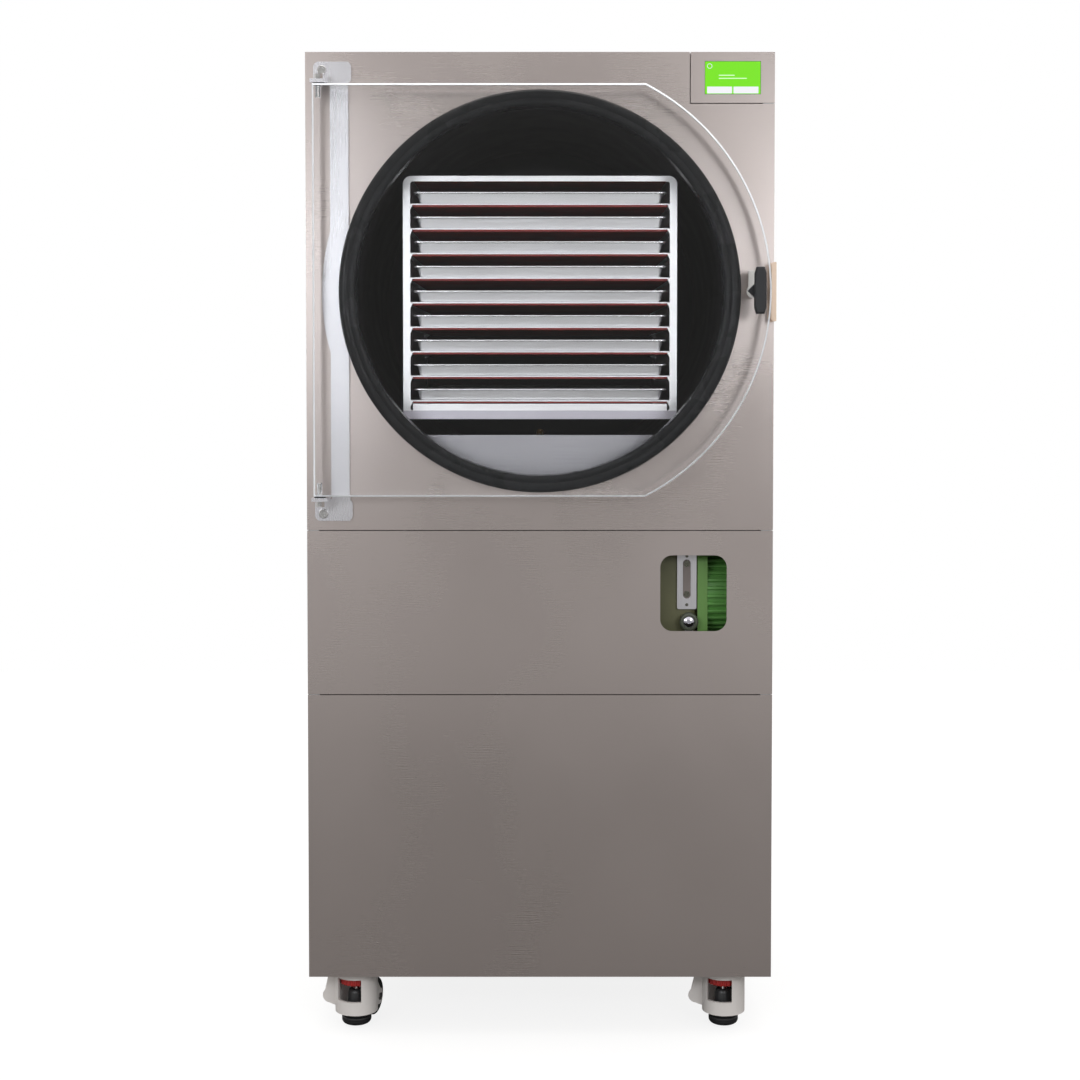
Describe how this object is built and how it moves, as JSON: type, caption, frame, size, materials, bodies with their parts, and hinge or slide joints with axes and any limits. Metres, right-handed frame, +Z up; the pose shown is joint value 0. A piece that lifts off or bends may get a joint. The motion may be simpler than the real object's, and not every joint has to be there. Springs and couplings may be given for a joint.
{
  "type": "freeze dryer",
  "caption": "Floor-standing freeze dryer: steel cabinet on levelling casters, round vacuum chamber behind a hinged clear door, shelf rack with trays, and a vacuum pump below.",
  "frame": {"origin": "on the floor, under the middle of the whole machine", "axes": "+Z up; the front and its door face -Y; +X to the user's right"},
  "size_m": [0.77, 1.0568, 1.634],
  "materials": {
    "cabinet_steel": "brushed stainless sheet",
    "screen_glass": "lit touch screen",
    "chamber_coating": "dark coated steel",
    "copper": "bare copper tube",
    "gasket_rubber": "moulded black rubber",
    "rack_steel": "stainless sheet",
    "heater_silicone": "red-brown silicone mat",
    "hinge_steel": "polished stainless plate",
    "pump_case": "dark green paint",
    "pump_motor": "green paint",
    "sight_glass": "black bezel with a clear pane",
    "black_plastic": "satin black",
    "hose_steel": "stainless bellows",
    "compressor_black": "black gloss paint",
    "condenser_aluminium": "bare fins",
    "galvanised": "galvanised sheet",
    "valve_brass": "plain brass",
    "lever_paint": "red coated lever",
    "door_clear": "clear acrylic plate",
    "caster_ivory": "ivory powder coat",
    "caster_black": "black nylon, red thumbwheel"
  },
  "bodies": {
    "cabinet": {"base_pan": "cabinet_steel", "corner_posts": "cabinet_steel", "pump_deck": "cabinet_steel", "chamber_deck": "cabinet_steel", "left_side_panel": "cabinet_steel", "right_side_panel": "cabinet_steel", "top_panel": "cabinet_steel", "rear_panel": "cabinet_steel", "upper_front_panel": "cabinet_steel", "middle_front_panel": "cabinet_steel", "lower_front_panel": "cabinet_steel", "control_bezel": "cabinet_steel", "touch_screen": "screen_glass", "chamber_drum": "chamber_coating", "evaporator_coil": "copper", "refrigerant_lines": "copper", "door_gasket": "gasket_rubber", "chamber_baffle": "rack_steel", "rack_frame": "rack_steel", "rack_shelves": "rack_steel", "tray_1": "rack_steel", "tray_2": "rack_steel", "tray_3": "rack_steel", "tray_4": "rack_steel", "tray_5": "rack_steel", "tray_6": "rack_steel", "tray_7": "rack_steel", "tray_8": "rack_steel", "tray_9": "rack_steel", "shelf_heaters": "heater_silicone", "hinge_strap": "hinge_steel", "hinge_pins": "hinge_steel", "latch_strike": "hinge_steel", "pump_body": "pump_case", "pump_motor": "pump_motor", "pump_sight_glass": "sight_glass", "pump_drain_knob": "black_plastic", "mains_inlet": "black_plastic", "vacuum_hose": "hose_steel", "compressor": "compressor_black", "condenser_coil": "condenser_aluminium", "fan_shroud": "galvanised", "drain_valve": "valve_brass"},
    "door": {"door_plate": "door_clear"},
    "latch": {"latch_handle": "black_plastic", "latch_cam": "hinge_steel"},
    "fan": {"condenser_fan": "black_plastic"},
    "lever": {"drain_lever": "lever_paint"},
    "caster_1": {"caster_1_housing": "caster_ivory"},
    "caster_1_wheel": {"caster_1_wheel": "caster_black"},
    "caster_1_foot": {"caster_1_foot": "caster_black"},
    "caster_2": {"caster_2_housing": "caster_ivory"},
    "caster_2_wheel": {"caster_2_wheel": "caster_black"},
    "caster_2_foot": {"caster_2_foot": "caster_black"},
    "caster_3": {"caster_3_housing": "caster_ivory"},
    "caster_3_wheel": {"caster_3_wheel": "caster_black"},
    "caster_3_foot": {"caster_3_foot": "caster_black"},
    "caster_4": {"caster_4_housing": "caster_ivory"},
    "caster_4_wheel": {"caster_4_wheel": "caster_black"},
    "caster_4_foot": {"caster_4_foot": "caster_black"}
  },
  "joints": [
    {"name": "door_hinge", "type": "hinge", "parent": "cabinet", "child": "door", "pos_m": [-0.358, -0.4829, 1.241], "axis": [0, 0, -1], "range_deg": [0, 110]},
    {"name": "latch_turn", "type": "hinge", "parent": "door", "child": "latch", "pos_m": [0.347, -0.4979, 1.241], "axis": [0, 1, 0], "range_deg": [0, 90]},
    {"name": "fan_spin", "type": "hinge", "parent": "cabinet", "child": "fan", "pos_m": [0, 0.3029, 0.302], "axis": [0, 1, 0], "continuous": true},
    {"name": "drain_lever_turn", "type": "hinge", "parent": "cabinet", "child": "lever", "pos_m": [0, 0.4854, 1.0053], "axis": [0, 0, -1], "range_deg": [0, 90]},
    {"name": "caster_1_swivel", "type": "hinge", "parent": "cabinet", "child": "caster_1", "pos_m": [-0.312, -0.3776, 0.0987], "axis": [0, 0, 1], "continuous": true},
    {"name": "caster_1_roll", "type": "hinge", "parent": "caster_1", "child": "caster_1_wheel", "pos_m": [-0.29469, -0.32434, 0.0315], "axis": [-0.9511, 0.309, 0], "continuous": true},
    {"name": "caster_1_level", "type": "slide", "parent": "caster_1", "child": "caster_1_foot", "axis": [0, 0, -1], "range_m": [0, 0.008]},
    {"name": "caster_2_swivel", "type": "hinge", "parent": "cabinet", "child": "caster_2", "pos_m": [0.312, -0.3776, 0.0987], "axis": [0, 0, 1], "continuous": true},
    {"name": "caster_2_roll", "type": "hinge", "parent": "caster_2", "child": "caster_2_wheel", "pos_m": [0.32931, -0.32434, 0.0315], "axis": [-0.9511, 0.309, 0], "continuous": true},
    {"name": "caster_2_level", "type": "slide", "parent": "caster_2", "child": "caster_2_foot", "axis": [0, 0, -1], "range_m": [0, 0.008]},
    {"name": "caster_3_swivel", "type": "hinge", "parent": "cabinet", "child": "caster_3", "pos_m": [-0.312, 0.3704, 0.0987], "axis": [0, 0, 1], "continuous": true},
    {"name": "caster_3_roll", "type": "hinge", "parent": "caster_3", "child": "caster_3_wheel", "pos_m": [-0.29469, 0.42366, 0.0315], "axis": [-0.9511, 0.309, 0], "continuous": true},
    {"name": "caster_3_level", "type": "slide", "parent": "caster_3", "child": "caster_3_foot", "axis": [0, 0, -1], "range_m": [0, 0.008]},
    {"name": "caster_4_swivel", "type": "hinge", "parent": "cabinet", "child": "caster_4", "pos_m": [0.312, 0.3704, 0.0987], "axis": [0, 0, 1], "continuous": true},
    {"name": "caster_4_roll", "type": "hinge", "parent": "caster_4", "child": "caster_4_wheel", "pos_m": [0.32931, 0.42366, 0.0315], "axis": [-0.9511, 0.309, 0], "continuous": true},
    {"name": "caster_4_level", "type": "slide", "parent": "caster_4", "child": "caster_4_foot", "axis": [0, 0, -1], "range_m": [0, 0.008]}
  ]
}
